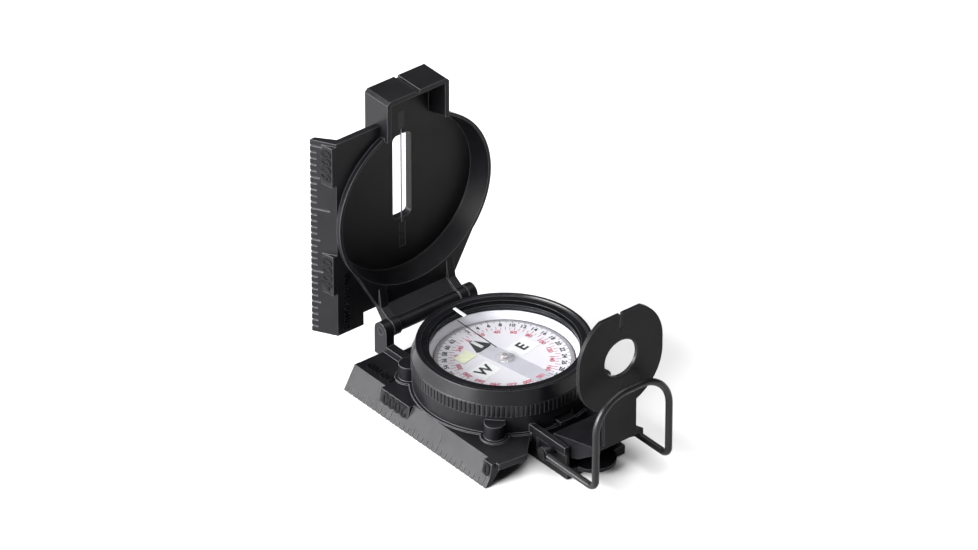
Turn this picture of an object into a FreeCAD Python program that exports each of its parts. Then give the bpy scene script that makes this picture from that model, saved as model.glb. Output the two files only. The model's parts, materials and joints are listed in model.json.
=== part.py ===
import FreeCAD, Part
import math
import os
import Sketcher

# Lensatic sighting compass, open for sighting: the cover stands upright on its hinge and the rear sight
# stands upright on the tail.  +Z is up and z = 0 is the surface that the compass lies on; the Z axis is the
# axis of bezel, dial and housing; +Y is the sighting direction, from the rear sight to the cover's hinge;
# the map ruler runs along -X.

SIZES = {
    # the whole case
    "closed_thickness": 25.4,
    "hinge_reach": 33.8,        # cover hinge axis to dial axis
    # map ruler, the same section on base and cover
    "ruler_edge": 29.7,         # outer edge, at the outer face
    "ruler_crest": 25.9,        # where the slope meets the plate
    "ruler_near": 28.3,         # base ruler's end beside the tail
    "ruler_far": 32.7,          # base ruler's end beside the hinge
    "ruler_wall": 1.7,
    "tick_pitch": 2.0,
    "tick_width": 0.42,
    "tick_depth": 0.25,
    "label_width": 4.4,         # raised pad under a numeral, across the slope
    "label_length": 12.4,
    "zero_inset": 1.4,          # the scale's zero from the near end of the base ruler
    # base plate
    "plate_level": 6.7,         # plate's upper face
    "plate_wall": 1.9,
    "plate_corner": 17.0,       # where the near edge turns in towards the tail
    "rim_flange": 0.5,
    # housing
    "housing_radius": 25.0,
    "housing_level": 12.4,      # shoulder under the bezel
    "neck_radius": 22.6,
    "neck_top": 17.95,
    "chamber_radius": 20.9,
    "capsule_radius": 24.0,     # round underside
    "cap_radius": 22.4,
    "cap_wall": 1.4,
    "boss_place": 18.4,
    "boss_radius": 2.9,
    "boss_level": 11.4,
    # crystal over the dial chamber
    "crystal_radius": 21.6,
    "crystal_level": 16.6,
    "crystal_wall": 0.9,
    # bezel
    "bezel_radius": 25.4,
    "bezel_gap": 0.15,
    "knurl_top": 16.3,
    "knurl_depth": 0.32,
    "bezel_top": 20.2,
    "bezel_rim": 24.0,
    "bezel_lip": 20.8,
    "bezel_glass_wall": 1.0,
    # dial
    "dial_radius": 19.0,
    "dial_level": 14.7,
    "dial_wall": 0.4,
    "hub_radius": 2.6,
    "pivot_radius": 0.9,
    # cover
    "cup_rim": 26.3,
    "cup_rim_level": 17.0,      # height of the cup's rim when the cover is closed
    "cup_back": 24.9,
    "cup_wall": 0.9,
    "cup_floor": 2.4,
    "tip_half": 10.7,           # box-shaped tip, half its width
    "tip_reach": 69.5,          # from the hinge axis to the tip's end
    "tip_depth": 9.7,
    "tip_wall": 1.4,
    "slot_half": 3.2,
    "slot_low": 25.4,           # ends of the sighting slot, from the hinge axis
    "slot_high": 52.1,
    "wire_radius": 0.2,
    # cover hinge
    "hinge_pin_radius": 1.0,
    "lug_outer": 16.0,
    "lug_wall": 2.7,
    "lug_radius": 2.6,
    "arm_wall": 2.5,
    "side_gap": 0.3,            # play between neighbours along a hinge
    "pin_play": 0.05,
    # tail, rear sight and thumb loop
    "tail_half": 10.1,
    "tail_end": 37.9,
    "tail_level": 9.6,
    "cheek_wall": 1.6,
    "tail_floor": 2.6,
    "tongue_radius": 6.4,
    "sight_axis_reach": 32.4,
    "sight_axis_level": 6.2,
    "sight_pin_radius": 0.9,
    "lever_half": 2.6,          # lift lever, half its width
    "sheet_wall": 1.1,
    "sight_gap": 0.5,           # between the sight's sides and the tail's cheeks
    "sight_face": 48.9,         # rear face of the upright sight plate, from the dial axis
    "leaf_far": 9.8,            # height of the leaf's upper face at its far end
    "leaf_near": 14.4,
    "sight_disc_radius": 14.4,
    "sight_disc_level": 41.6,
    "sight_disc_drop": 3.4,     # the plate's lower round is this far below its upper one
    "sight_top": 54.2,
    "sight_neck_half": 5.5,
    "lens_radius": 5.9,
    "lens_level": 40.2,
    "loop_wire_radius": 1.0,
    "loop_half": 12.7,
    "loop_reach": 53.9,
    "loop_top": 33.4,
    "loop_corner": 10.4,
    "loop_bend": 2.6,
}

doc = FreeCAD.newDocument("sighting_compass")
sheet = doc.addObject("Spreadsheet::Sheet", "Sizes")
for row, (alias, value) in enumerate(SIZES.items(), start=1):
    sheet.set("A%d" % row, alias)
    sheet.set("B%d" % row, str(value))
    sheet.setAlias("B%d" % row, alias)
doc.recompute()


class Size:
    """A length with the spreadsheet expression that it comes from."""

    def __init__(self, text, value):
        self.text = text
        self.value = value

    def __add__(self, other):
        other = size(other)
        return Size("(%s + %s)" % (self.text, other.text), self.value + other.value)

    def __sub__(self, other):
        other = size(other)
        return Size("(%s - %s)" % (self.text, other.text), self.value - other.value)

    def __mul__(self, other):
        other = size(other)
        return Size("(%s * %s)" % (self.text, other.text), self.value * other.value)

    def __truediv__(self, other):
        other = size(other)
        return Size("(%s / %s)" % (self.text, other.text), self.value / other.value)

    def __neg__(self):
        return Size("(0 - %s)" % self.text, -self.value)

    def __radd__(self, other):
        return size(other) + self

    def __rsub__(self, other):
        return size(other) - self

    def __rmul__(self, other):
        return size(other) * self

    def root(self):
        return Size("sqrt(%s)" % self.text, math.sqrt(self.value))


def size(value):
    if isinstance(value, Size):
        return value
    return Size("%.6f" % value, float(value))


class Named:
    """The spreadsheet's cells by alias."""

    def __getattr__(self, alias):
        return Size("Sizes.%s" % alias, float(SIZES[alias]))


S = Named()
ORIGIN_POINT = (-1, 1)          # the sketch's own origin, as constraint geometry and point


class Piece:
    """One sub-part: a PartDesign body with its features in order."""

    def __init__(self, label):
        self.body = doc.addObject("PartDesign::Body", label)
        self.body.Label = label
        self.count = 0

    def name(self, kind):
        self.count += 1
        return "%s_%s_%d" % (self.body.Name, kind, self.count)

    def sketch(self, plane, level, loops, across=None):
        """A sketch on an origin plane, level along the plane's axis, of lines or circles at bound places."""
        role = {"XY": "XY_Plane", "XZ": "XZ_Plane", "YZ": "YZ_Plane"}[plane]
        support = [f for f in self.body.Origin.OriginFeatures if f.Role == role][0]
        drawn = self.body.newObject("Sketcher::SketchObject", self.name("sketch"))
        drawn.AttachmentSupport = [(support, "")]
        drawn.MapMode = "FlatFace"
        level = size(level)
        if plane == "XZ":
            level = -level
        drawn.setExpression("AttachmentOffset.Base.z", level.text)
        if across is not None:
            drawn.setExpression("AttachmentOffset.Base.y", size(across).text)
        for loop in loops:
            if loop[0] == "circle":
                self.draw_circle(drawn, *loop[1:])
            else:
                self.draw_polygon(drawn, loop)
        return drawn

    def draw_circle(self, drawn, across, up, radius):
        across, up, radius = size(across), size(up), size(radius)
        centre = FreeCAD.Vector(across.value, up.value, 0)
        edge = drawn.addGeometry(Part.Circle(centre, FreeCAD.Vector(0, 0, 1), radius.value), False)
        self.hold(drawn, edge, 3, across, up)
        index = drawn.addConstraint(Sketcher.Constraint("Radius", edge, radius.value))
        drawn.setExpression("Constraints[%d]" % index, radius.text)

    def draw_polygon(self, drawn, corners):
        corners = [(size(a), size(b)) for a, b in corners]
        edges = []
        for start, end in zip(corners, corners[1:] + corners[:1]):
            first = FreeCAD.Vector(start[0].value, start[1].value, 0)
            last = FreeCAD.Vector(end[0].value, end[1].value, 0)
            edges.append(drawn.addGeometry(Part.LineSegment(first, last), False))
        for edge, following in zip(edges, edges[1:] + edges[:1]):
            drawn.addConstraint(Sketcher.Constraint("Coincident", edge, 2, following, 1))
        for edge, (across, up) in zip(edges, corners):
            self.hold(drawn, edge, 1, across, up)

    def hold(self, drawn, edge, point, across=None, up=None):
        """Binds one point of the sketch to its coordinates."""
        for kind, place in (("DistanceX", across), ("DistanceY", up)):
            if place is None:
                continue
            constraint = Sketcher.Constraint(kind, ORIGIN_POINT[0], ORIGIN_POINT[1], edge, point, place.value)
            index = drawn.addConstraint(constraint)
            drawn.setExpression("Constraints[%d]" % index, place.text)

    def pad(self, plane, low, high, *loops):
        """Adds material between two levels along the plane's axis."""
        low, high = size(low), size(high)
        drawn = self.sketch(plane, high if plane == "XZ" else low, loops)
        feature = self.body.newObject("PartDesign::Pad", self.name("pad"))
        feature.Profile = drawn
        feature.setExpression("Length", (high - low).text)
        return feature

    def pocket(self, plane, low, high, *loops):
        """Cuts material away between two levels along the plane's axis."""
        low, high = size(low), size(high)
        drawn = self.sketch(plane, low if plane == "XZ" else high, loops)
        feature = self.body.newObject("PartDesign::Pocket", self.name("pocket"))
        feature.Profile = drawn
        feature.setExpression("Length", (high - low).text)
        return feature

    def turn(self, corners):
        """Adds a solid of revolution about Z, from (radius, height) corners."""
        drawn = self.sketch("XZ", 0, [corners])
        feature = self.body.newObject("PartDesign::Revolution", self.name("turned"))
        feature.Profile = drawn
        feature.ReferenceAxis = (drawn, ["V_Axis"])
        feature.Angle = 360
        return feature

    def groove(self, corners):
        """Cuts a solid of revolution about Z away."""
        drawn = self.sketch("XZ", 0, [corners])
        feature = self.body.newObject("PartDesign::Groove", self.name("groove"))
        feature.Profile = drawn
        feature.ReferenceAxis = (drawn, ["V_Axis"])
        feature.Angle = 360
        return feature

    def turn_along_y(self, height, corners, cut=False):
        """A solid of revolution about the line along Y at a height, from (place along Y, radius) corners."""
        drawn = self.sketch("YZ", 0, [corners], across=height)
        kind = "PartDesign::Groove" if cut else "PartDesign::Revolution"
        feature = self.body.newObject(kind, self.name("round"))
        feature.Profile = drawn
        feature.ReferenceAxis = (drawn, ["H_Axis"])
        feature.Angle = 360
        return feature

    def polar(self, feature, count):
        """Repeats a feature evenly round the Z axis."""
        doc.recompute()
        axis = [f for f in self.body.Origin.OriginFeatures if f.Role == "Z_Axis"][0]
        pattern = self.body.newObject("PartDesign::PolarPattern", self.name("ring"))
        pattern.Originals = [feature]
        pattern.Axis = (axis, [""])
        pattern.Angle = 360
        pattern.Occurrences = count
        self.body.Tip = pattern
        return pattern

    def row(self, feature, role, length, count):
        """Repeats a feature along an origin axis, over a whole length."""
        doc.recompute()
        axis = [f for f in self.body.Origin.OriginFeatures if f.Role == role][0]
        pattern = self.body.newObject("PartDesign::LinearPattern", self.name("row"))
        pattern.Originals = [feature]
        pattern.Direction = (axis, [""])
        pattern.Mode = 0
        pattern.setExpression("Length", size(length).text)
        pattern.Occurrences = count
        self.body.Tip = pattern
        return pattern

    def round_edges(self, radius, chosen):
        """Rounds every edge whose two end points satisfy a test."""
        doc.recompute()
        base = self.body.Tip
        names = []
        for number, edge in enumerate(base.Shape.Edges, start=1):
            ends = [v.Point for v in edge.Vertexes]
            if len(ends) == 2 and chosen(ends[0], ends[1]):
                names.append("Edge%d" % number)
        feature = self.body.newObject("PartDesign::Fillet", self.name("round_edges"))
        feature.Base = (base, names)
        feature.setExpression("Radius", size(radius).text)
        return feature


pieces = []


def piece(label):
    made = Piece(label)
    pieces.append(made)
    return made


def disc(label, radius, low, high):
    made = piece(label)
    made.pad("XY", low, high, ("circle", 0, 0, radius))
    return made


def ring(label, inner, outer, low, high):
    made = piece(label)
    made.pad("XY", low, high, ("circle", 0, 0, outer), ("circle", 0, 0, inner))
    return made


def box(x_low, x_high, y_low, y_high):
    return [(x_low, y_low), (x_high, y_low), (x_high, y_high), (x_low, y_high)]


# Places that several pieces share.
hinge_y = S.hinge_reach
hinge_z = S.closed_thickness / 2
plate_low = S.plate_level - S.plate_wall
lug_inner = S.lug_outer - S.lug_wall
arm_outer = lug_inner - S.side_gap
arm_inner = arm_outer - S.arm_wall
cheek_inner = S.tail_half - S.cheek_wall
sight_half = cheek_inner - S.sight_gap
sight_y = -S.sight_axis_reach
sight_z = S.sight_axis_level
slope_run = S.ruler_edge - S.ruler_crest
slope_length = (slope_run * slope_run + S.plate_level * S.plate_level).root()
slope_across = S.plate_level / slope_length     # the slope's outward normal, across
slope_out = slope_run / slope_length            # and out of the case


def opened(closed_level):
    """Place along Y, with the cover upright, of what is at this height when it is closed."""
    return hinge_y + closed_level - hinge_z


def reached(distance):
    """Height, with the cover upright, of what is this far from the hinge axis."""
    return hinge_z + distance


# ------------------------------------------------------------------ base casting
plate_near = -S.ruler_near - 2.0
base = piece("base_casting")
base.pad("XY", plate_low, S.plate_level, [
    (-S.ruler_crest, -S.ruler_near - 1.1),
    (-S.plate_corner, plate_near),
    (-S.tail_half, plate_near + S.plate_corner - S.tail_half),
    (0, -S.housing_radius + 6),
    (0, S.ruler_far - 3.0),
    (-lug_inner, S.ruler_far - 3.0),
    (-lug_inner, S.ruler_far - 0.1),
    (-S.ruler_crest, S.ruler_far - 0.1),
])
# ruler skirt: a sloping wall from the plate's edge down to the resting plane
skirt_foot = S.ruler_edge - S.ruler_wall
base.pad("XZ", -S.ruler_near, S.ruler_far, [
    (-S.ruler_edge, 0),
    (-S.ruler_crest, S.plate_level),
    (-S.ruler_crest + S.ruler_wall, S.plate_level),
    (-S.ruler_crest + S.ruler_wall, plate_low),
    (-skirt_foot, 0),
])
# round housing: capsule wall below the plate, shoulder, neck for the bezel, seats for cap and crystal
base.turn([
    (S.cap_radius, 0),
    (S.capsule_radius, 0),
    (S.capsule_radius, plate_low),
    (S.ruler_crest, plate_low),
    (S.ruler_crest, S.plate_level + S.rim_flange),
    (S.housing_radius, S.plate_level + S.rim_flange),
    (S.housing_radius, S.housing_level),
    (S.neck_radius, S.housing_level),
    (S.neck_radius, S.neck_top),
    (S.crystal_radius + 0.1, S.neck_top),
    (S.crystal_radius + 0.1, S.crystal_level),
    (S.chamber_radius, S.crystal_level),
    (S.chamber_radius, S.cap_wall),
    (S.cap_radius, S.cap_wall),
])
# four solid bosses on the diagonals, each on its own round foot
boss_places = [(x, y) for x in (-S.boss_place, S.boss_place) for y in (-S.boss_place, S.boss_place)]
base.pad("XY", plate_low, S.plate_level + S.rim_flange,
         *[("circle", x, y, S.boss_radius + 1.0) for x, y in boss_places])
base.pad("XY", plate_low, S.boss_level, *[("circle", x, y, S.boss_radius) for x, y in boss_places])

# hinge lugs on ribs that run back to the housing
for side in (-1, 1):
    outer, inner = side * S.lug_outer, side * lug_inner
    low, high = (outer, inner) if side < 0 else (inner, outer)
    base.pad("XY", plate_low, S.plate_level + 2.1, box(low, high, S.boss_place + 1.0, hinge_y + S.lug_radius))
    base.pad("YZ", low, high, [
        (hinge_y - S.lug_radius, S.plate_level),
        (hinge_y + S.lug_radius, S.plate_level),
        (hinge_y + S.lug_radius, hinge_z),
        (hinge_y - S.lug_radius, hinge_z),
    ])
    base.pad("YZ", low, high, ("circle", hinge_y, hinge_z, S.lug_radius))
# the right-hand rib needs the plate under it
base.pad("XY", plate_low, S.plate_level,
         box(lug_inner - 1.0, S.lug_outer, S.boss_place - 4.0, S.ruler_far - 0.1))

# tail: two cheeks, a floor between them and a rounded tongue
tail_start = -S.housing_radius + 3.2
base.pad("XY", 0, S.tail_floor, box(-S.tail_half, S.tail_half, -S.tail_end - 1.0, tail_start))
for side in (-1, 1):
    outer, inner = side * S.tail_half, side * cheek_inner
    low, high = (outer, inner) if side < 0 else (inner, outer)
    base.pad("XY", 0, S.tail_level, box(low, high, -S.tail_end, tail_start))
base.pad("XY", S.tail_floor - 1.1, S.tail_floor, ("circle", 0, -S.tail_end + 0.3, S.tongue_radius))
# cheeks are thinner below a ledge, where the loop's legs lie beside them
for side in (-1, 1):
    outer, inner = side * (S.tail_half + 0.5), side * (S.tail_half - 0.5)
    low, high = (outer, inner) if side < 0 else (inner, outer)
    base.pocket("XY", S.tail_floor, S.tail_level - 2.4,
                box(low, high, -S.tail_end - 0.5, -S.housing_radius - 1.2))

# bores for the two pins
hinge_bore = S.hinge_pin_radius + S.pin_play
base.pocket("YZ", -S.lug_outer - 1, S.lug_outer + 1, ("circle", hinge_y, hinge_z, hinge_bore))
base.pocket("YZ", -S.tail_half - 1, S.tail_half + 1, ("circle", sight_y, sight_z, S.sight_pin_radius))

# the chamber stays clear inside, and a window lets the lift lever through the wall behind the rear sight
window_half = S.lever_half + 0.3
lever_level = S.tail_level - 0.9
base.groove([
    (0, S.cap_wall),
    (S.chamber_radius, S.cap_wall),
    (S.chamber_radius, S.crystal_level),
    (0, S.crystal_level),
])
base.groove([(0, -0.5), (S.cap_radius, -0.5), (S.cap_radius, S.cap_wall), (0, S.cap_wall)])
# ledge that the damping cup rests on, clear above the lever's window
ledge_level = lever_level + 1.5
base.turn([
    (S.chamber_radius - 0.8, ledge_level - 0.3),
    (S.chamber_radius + 0.2, ledge_level - 0.3),
    (S.chamber_radius + 0.2, ledge_level),
    (S.chamber_radius - 0.8, ledge_level),
])
base.pocket("XY", lever_level - 1.0, lever_level + 1.2,
            box(-window_half - 0.3, window_half + 0.3, -S.housing_radius - 1.5, -S.chamber_radius + 0.6))
# trunnion blocks inside the wall for the lever's pin
lever_axis_y = -S.chamber_radius + 1.7
for side in (-1, 1):
    near, far = side * (window_half + 0.3), side * (window_half + 1.6)
    low, high = (far, near) if side < 0 else (near, far)
    base.pad("XY", lever_level - 2.0, lever_level + 1.2,
             box(low, high, -S.chamber_radius - 0.8, lever_axis_y + 1.1))
base.pocket("YZ", -window_half - 1.9, window_half + 1.9, ("circle", lever_axis_y, lever_level, 0.5))
# groove for the wire that keeps the bezel on, and a pocket for the click spring
wire_level = (S.housing_level + S.knurl_top) / 2
base.groove([
    (S.neck_radius - 0.5, wire_level - 0.5),
    (S.neck_radius + 0.5, wire_level - 0.5),
    (S.neck_radius + 0.5, wire_level + 0.5),
    (S.neck_radius - 0.5, wire_level + 0.5),
])
click_place = (S.neck_radius + S.housing_radius) / 2
click_low = S.housing_level - 1.6
base.pocket("XY", click_low, S.housing_level + 0.5, box(click_place - 0.7, click_place + 0.7, -4.4, 4.4))

# map scale: a groove every 100 m at 1:50 000, longer every 500 m and longest every 1000 m
GROOVES = ((1, 1.8), (5, 2.7), (10, 5.6))      # every so many pitches, length up the slope


def slope_strip(length, depth):
    """Section across the ruler's slope of a strip from its foot upwards, depth into the wall."""
    rise = S.plate_level / slope_length
    run = slope_run / slope_length
    above = 0.3
    return [
        (-S.ruler_edge - slope_across * above, slope_out * above),
        (-S.ruler_edge + run * length - slope_across * above, rise * length + slope_out * above),
        (-S.ruler_edge + run * length + slope_across * depth, rise * length - slope_out * depth),
        (-S.ruler_edge + slope_across * depth, -slope_out * depth),
    ]


def from_back(section):
    """The same section on the upright cover, whose outer face is the ruler's foot there."""
    return [(across, back_y - up) for across, up in section]


scale_zero = -S.ruler_near + S.zero_inset
base_scale = S.ruler_far - scale_zero
for every, groove_length in GROOVES:
    pitch = S.tick_pitch * every
    count = int((base_scale.value - 0.5) / pitch.value) + 1
    cut = base.pocket("XZ", scale_zero - S.tick_width / 2, scale_zero + S.tick_width / 2,
                      slope_strip(groove_length, S.tick_depth))
    base.row(cut, "Y_Axis", pitch * (count - 1), count)

# raised pads under the numerals 0 and 2000: flush with the slope below, level with the plate above
label_share = (slope_length - S.label_width) / slope_length
label_section = [
    (-S.ruler_edge + slope_run * label_share, S.plate_level * label_share),
    (-S.ruler_crest - 1.5, S.plate_level),
    (-S.ruler_crest, S.plate_level),
]
label_half = S.label_length / 2
THOUSAND = 10                   # pitches in 1000 m
second_thousand = scale_zero + S.tick_pitch * (2 * THOUSAND)
base.pad("XZ", -S.ruler_near, -S.ruler_near + 3.6, label_section)
base.pad("XZ", second_thousand - label_half, second_thousand + label_half, label_section)

# ------------------------------------------------------------------ pieces inside the housing
cap = piece("bottom_cap")
cap_top = S.cap_wall - 0.3
key_place = S.cap_radius / 2
cap.pad("XY", 0, cap_top, ("circle", 0, 0, S.cap_radius - 0.02))
cap.pocket("XY", -0.1, 0.5, ("circle", 0, key_place, 1.2), ("circle", 0, -key_place, 1.2))

ring("cap_seal", S.chamber_radius + 0.2, S.cap_radius - 0.1, cap_top, S.cap_wall)

sleeve_flange = 2.2
cup_top = S.dial_level - 1.6
copper = piece("damping_cup")
copper.turn([
    (sleeve_flange + 0.4, ledge_level),
    (S.chamber_radius - 0.1, ledge_level),
    (S.chamber_radius - 0.1, cup_top),
    (S.chamber_radius - 0.9, cup_top),
    (S.chamber_radius - 0.9, ledge_level + 0.6),
    (sleeve_flange + 0.4, ledge_level + 0.6),
])

bowl = piece("dial_bowl")
bowl.turn([
    (S.chamber_radius - 0.1, cup_top),
    (S.chamber_radius - 0.1, S.crystal_level),
    (S.chamber_radius - 0.4, S.crystal_level),
    (S.dial_radius + 0.5, S.dial_level - 0.2),
    (S.dial_radius + 0.5, cup_top),
])

bridge_top = cap_top + 1.2
pivot = piece("dial_pivot")
needle_top = S.dial_level + 0.75
pivot.turn([
    (0, bridge_top),
    (3.6, bridge_top),
    (3.6, bridge_top + 1.0),
    (S.pivot_radius, bridge_top + 1.0),
    (S.pivot_radius, needle_top - 3.2),
    (0.35, needle_top - 2.2),
    (0.35, needle_top - 0.6),
    (0.06, needle_top),
    (0, needle_top),
])

bridge = piece("pivot_bridge")
bridge_half = S.chamber_radius - 0.7
bridge.pad("XY", cap_top, bridge_top, box(-bridge_half, bridge_half, -4.6, 4.6))

disc("crystal", S.crystal_radius, S.crystal_level, S.crystal_level + S.crystal_wall)

ring("crystal_ring", S.chamber_radius - 0.35, S.crystal_radius + 0.05,
     S.crystal_level + S.crystal_wall, S.neck_top - 0.05)

index = piece("index_line")
index.pad("XY", S.crystal_level - 0.08, S.crystal_level, box(-0.16, 0.16, 3.4, S.chamber_radius - 0.7))

click = piece("click_spring")
click.pad("XZ", -0.55, 0.55, [
    (click_place - 0.62, click_low),
    (click_place + 0.62, click_low),
    (click_place + 0.62, S.housing_level - 0.5),
    (click_place, S.housing_level),
    (click_place - 0.62, S.housing_level - 0.5),
])
click.pad("XY", click_low, click_low + 0.3, box(click_place - 0.62, click_place + 0.62, -4.2, 4.2))

# ------------------------------------------------------------------ dial lift
lever = piece("lift_lever")
lever.pad("XY", lever_level - 0.35, lever_level + 0.35,
          box(-S.lever_half, S.lever_half, -S.housing_radius - 2.2, 3.0))
lever.pocket("XY", lever_level - 1.0, lever_level + 1.0, box(-1.25, 1.25, -1.6, 4.0))
lever.pad("YZ", -S.lever_half, S.lever_half, ("circle", lever_axis_y, lever_level, 0.95))
lever.pocket("YZ", -S.lever_half - 1, S.lever_half + 1, ("circle", lever_axis_y, lever_level, 0.55))

lever_pin = piece("lift_lever_pin")
lever_pin.pad("YZ", -window_half - 1.5, window_half + 1.5, ("circle", lever_axis_y, lever_level, 0.5))

sleeve = piece("lift_sleeve")
sleeve_low = lever_level + 0.45
sleeve.turn([
    (S.pivot_radius + 0.1, sleeve_low),
    (sleeve_flange, sleeve_low),
    (sleeve_flange, sleeve_low + 0.6),
    (S.pivot_radius + 0.6, sleeve_low + 0.6),
    (S.pivot_radius + 0.6, S.dial_level - 3.3),
    (3.0, S.dial_level - 3.3),
    (3.0, S.dial_level - 2.7),
    (S.pivot_radius + 0.1, S.dial_level - 2.7),
])

# ------------------------------------------------------------------ bezel
NOTCHES = 120
bezel_bore = S.neck_radius + S.bezel_gap
bezel_low = S.housing_level + S.bezel_gap
seat_low = S.neck_top + S.bezel_gap + 0.2
glass_low = seat_low + 0.35
bezel = piece("bezel_ring")
bezel.turn([
    (bezel_bore, bezel_low),
    (S.bezel_radius, bezel_low),
    (S.bezel_radius, S.knurl_top - 0.2),
    (S.bezel_radius - 0.2, S.knurl_top),
    (S.bezel_rim + 0.15, S.bezel_top - 0.15),
    (S.bezel_rim, S.bezel_top),
    (S.bezel_rim - 0.75, S.bezel_top),
    (S.bezel_rim - 0.95, S.bezel_top - 0.35),
    (S.bezel_rim - 1.3, S.bezel_top - 0.35),
    (S.bezel_rim - 1.3, glass_low),
    (S.bezel_lip - 0.4, glass_low),
    (S.bezel_lip - 0.4, seat_low),
    (bezel_bore, seat_low),
])
bezel.groove([
    (bezel_bore - 0.3, wire_level - 0.4),
    (bezel_bore + 0.45, wire_level - 0.4),
    (bezel_bore + 0.45, wire_level + 0.4),
    (bezel_bore - 0.3, wire_level + 0.4),
])
notch = bezel.pocket("XY", bezel_low - 0.2, S.knurl_top - 0.25, [
    (S.bezel_radius - S.knurl_depth, -0.2),
    (S.bezel_radius + 0.4, -0.48),
    (S.bezel_radius + 0.4, 0.48),
    (S.bezel_radius - S.knurl_depth, 0.2),
])
bezel.polar(notch, NOTCHES)

disc("bezel_glass", S.bezel_rim - 1.35, glass_low, glass_low + S.bezel_glass_wall)

retainer = piece("glass_ring")
retainer.turn([
    (S.bezel_lip, glass_low + S.bezel_glass_wall),
    (S.bezel_rim - 1.35, glass_low + S.bezel_glass_wall),
    (S.bezel_rim - 1.35, S.bezel_top - 0.4),
    (S.bezel_lip + 0.9, S.bezel_top - 0.4),
    (S.bezel_lip, glass_low + S.bezel_glass_wall + 0.15),
])
retainer.pocket("XY", glass_low + S.bezel_glass_wall - 0.2, S.bezel_top,
                box(-0.5, 0.5, S.bezel_lip - 1, S.bezel_lip + 0.9))

marker = piece("bezel_marker")
marker.pad("XY", glass_low + S.bezel_glass_wall, glass_low + S.bezel_glass_wall + 0.3,
           box(-0.45, 0.45, S.bezel_lip - 4.2, S.bezel_lip + 0.8))

keeper = piece("bezel_wire")
keeper.turn([
    (S.neck_radius - 0.3, wire_level - 0.3),
    (bezel_bore + 0.45, wire_level - 0.3),
    (bezel_bore + 0.45, wire_level + 0.3),
    (S.neck_radius - 0.3, wire_level + 0.3),
])

# ------------------------------------------------------------------ dial
HEADING = math.radians(10)      # the dial's turn at rest, its north towards -X


def turned(corners):
    """The same corners turned with the dial."""
    cosine, sine = math.cos(HEADING), math.sin(HEADING)
    return [(x * cosine - y * sine, x * sine + y * cosine) for x, y in corners]


ring("dial_card", 1.4, S.dial_radius, S.dial_level - S.dial_wall, S.dial_level)
magnet = piece("dial_magnet")
magnet.pad("XY", S.dial_level - S.dial_wall - 0.9, S.dial_level - S.dial_wall,
           turned(box(-3.0, 3.0, -15.4, 15.4)))
magnet.pocket("XY", S.dial_level - 2, S.dial_level, ("circle", 0, 0, 1.4))

hub = piece("dial_hub")
hub.turn([
    (0, S.dial_level + 1.25),
    (0, S.dial_level + 1.5),
    (0.9, S.dial_level + 1.4),
    (1.35, S.dial_level + 1.1),
    (1.5, S.dial_level + 0.5),
    (S.hub_radius, S.dial_level + 0.3),
    (S.hub_radius, S.dial_level),
    (0.8, S.dial_level),
    (0.8, S.dial_level + 1.25),
])
jewel = piece("dial_jewel")
jewel.turn([
    (0, S.dial_level + 0.85),
    (0, S.dial_level + 1.25),
    (0.8, S.dial_level + 1.25),
    (0.8, S.dial_level + 0.35),
    (0.55, S.dial_level + 0.35),
])
arrow_foot, arrow_tip, arrow_half = 6.9, 12.3, 3.0
arrow = piece("north_arrow")
arrow.pad("XY", S.dial_level, S.dial_level + 0.12, turned([
    (-arrow_half, arrow_foot + 0.5),
    (-arrow_half + 0.9, arrow_foot),
    (arrow_half - 0.9, arrow_foot),
    (arrow_half, arrow_foot + 0.5),
    (0.5, arrow_tip),
    (-0.5, arrow_tip),
]))
arrow_mark = piece("arrow_lume")
arrow_mark.pad("XY", S.dial_level + 0.12, S.dial_level + 0.3,
               turned(box(-0.5, 0.5, arrow_foot + 0.9, arrow_tip - 0.5)))
lume = piece("dial_lume")
lume.pad("XY", S.dial_level, S.dial_level + 0.1, turned(box(-9.3, -3.9, 6.4, 10.3)))

# ------------------------------------------------------------------ cover casting, standing upright
cover = piece("cover_casting")
rim_y = opened(S.cup_rim_level)
back_y = opened(S.closed_thickness)
floor_y = back_y - S.cup_floor
wing_y = opened(S.closed_thickness - S.plate_level)
cup_z = reached(hinge_y)
cover.turn_along_y(cup_z, [
    (rim_y, S.cup_rim - S.cup_wall),
    (rim_y, S.cup_rim),
    (back_y - 0.5, S.cup_back),
    (back_y, S.cup_back - 0.5),
    (back_y, 0),
    (floor_y, 0),
    (floor_y, S.cup_back - S.cup_wall - 0.15),
])
# wing with the ruler
wing_low = reached(-0.5)
wing_high = reached(S.tip_reach - 8.4)
wing = box(-S.ruler_crest, -S.cup_back + 14.0, wing_low + 4.0, wing_high)
cover.pad("XZ", wing_y, wing_y + S.plate_wall, wing)
cover.pad("XZ", wing_y, wing_y + S.plate_wall,
          box(-S.ruler_crest, -S.lug_outer - 1.0, wing_low, wing_low + 4.0))
cover.pad("XY", wing_low, wing_high, [
    (-S.ruler_edge, back_y),
    (-S.ruler_crest, wing_y),
    (-S.ruler_crest + S.ruler_wall, wing_y),
    (-S.ruler_crest + S.ruler_wall, wing_y + S.plate_wall),
    (-skirt_foot, back_y),
])
# hinge end: a tapering skirt behind the rim, closed at the back, and the two arms
skirt_low = reached(3.8)
cover.pad("XZ", rim_y, rim_y + 2.0, [
    (-S.cup_rim + 5.4, cup_z - 15.4),
    (-arm_outer, skirt_low + 0.4),
    (-arm_outer, skirt_low),
    (arm_outer, skirt_low),
    (arm_outer, skirt_low + 0.4),
    (S.cup_rim - 5.4, cup_z - 15.4),
])
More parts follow.
